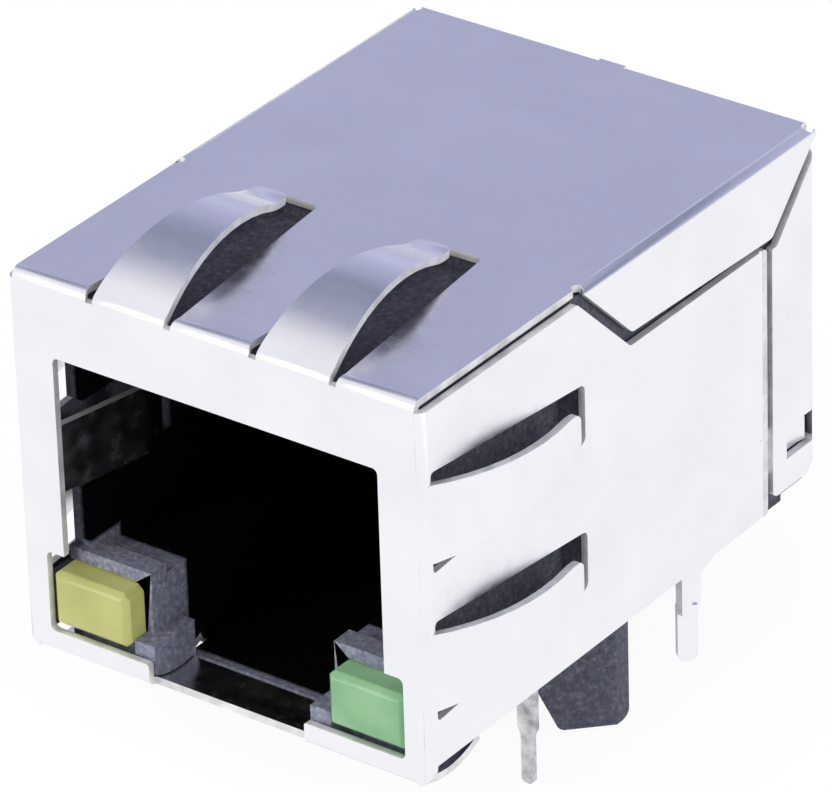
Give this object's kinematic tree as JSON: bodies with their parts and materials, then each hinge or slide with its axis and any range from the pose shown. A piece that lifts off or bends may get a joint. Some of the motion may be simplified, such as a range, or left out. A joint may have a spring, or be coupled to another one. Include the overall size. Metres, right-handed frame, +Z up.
{
  "type": "shielded board jack",
  "caption": "Right-angle shielded modular jack for a circuit board, with two lamps, spring fingers, snap-in pegs and internal magnetics.",
  "frame": {"origin": "on the board's surface, midway between the two locating pegs", "axes": "+Z up from the board, the mouth faces -Y, +X to the right as seen from the mouth"},
  "size_m": [0.0178, 0.0215, 0.0183],
  "materials": {
    "shield": "satin",
    "housing": "matte",
    "carrier": "matte",
    "gold": "polished",
    "tinned": "satin",
    "board": "satin",
    "yellow": "satin",
    "green": "satin",
    "ferrite": "matte",
    "enamel": "satin",
    "chip_black": "matte",
    "chip_tan": "matte"
  },
  "bodies": {
    "root": {"front_shield": "shield", "rear_shield": "shield", "housing": "housing", "contact_carrier": "carrier", "contact_1": "gold", "contact_2": "gold", "contact_3": "gold", "contact_4": "gold", "contact_5": "gold", "contact_6": "gold", "contact_7": "gold", "contact_8": "gold", "signal_pin_1": "tinned", "signal_pin_2": "tinned", "signal_pin_3": "tinned", "signal_pin_4": "tinned", "signal_pin_5": "tinned", "signal_pin_6": "tinned", "signal_pin_7": "tinned", "signal_pin_8": "tinned", "pin_base": "carrier", "module_board": "board", "yellow_lamp": "yellow", "green_lamp": "green", "yellow_lead_inner": "tinned", "yellow_lead_outer": "tinned", "green_lead_inner": "tinned", "green_lead_outer": "tinned", "core_1": "ferrite", "core_2": "ferrite", "core_3": "ferrite", "core_4": "ferrite", "winding_1": "enamel", "winding_2": "enamel", "winding_3": "enamel", "winding_4": "enamel", "resistor_1": "chip_black", "resistor_2": "chip_black", "resistor_3": "chip_black", "resistor_4": "chip_black", "capacitor": "chip_tan"}
  },
  "joints": []
}
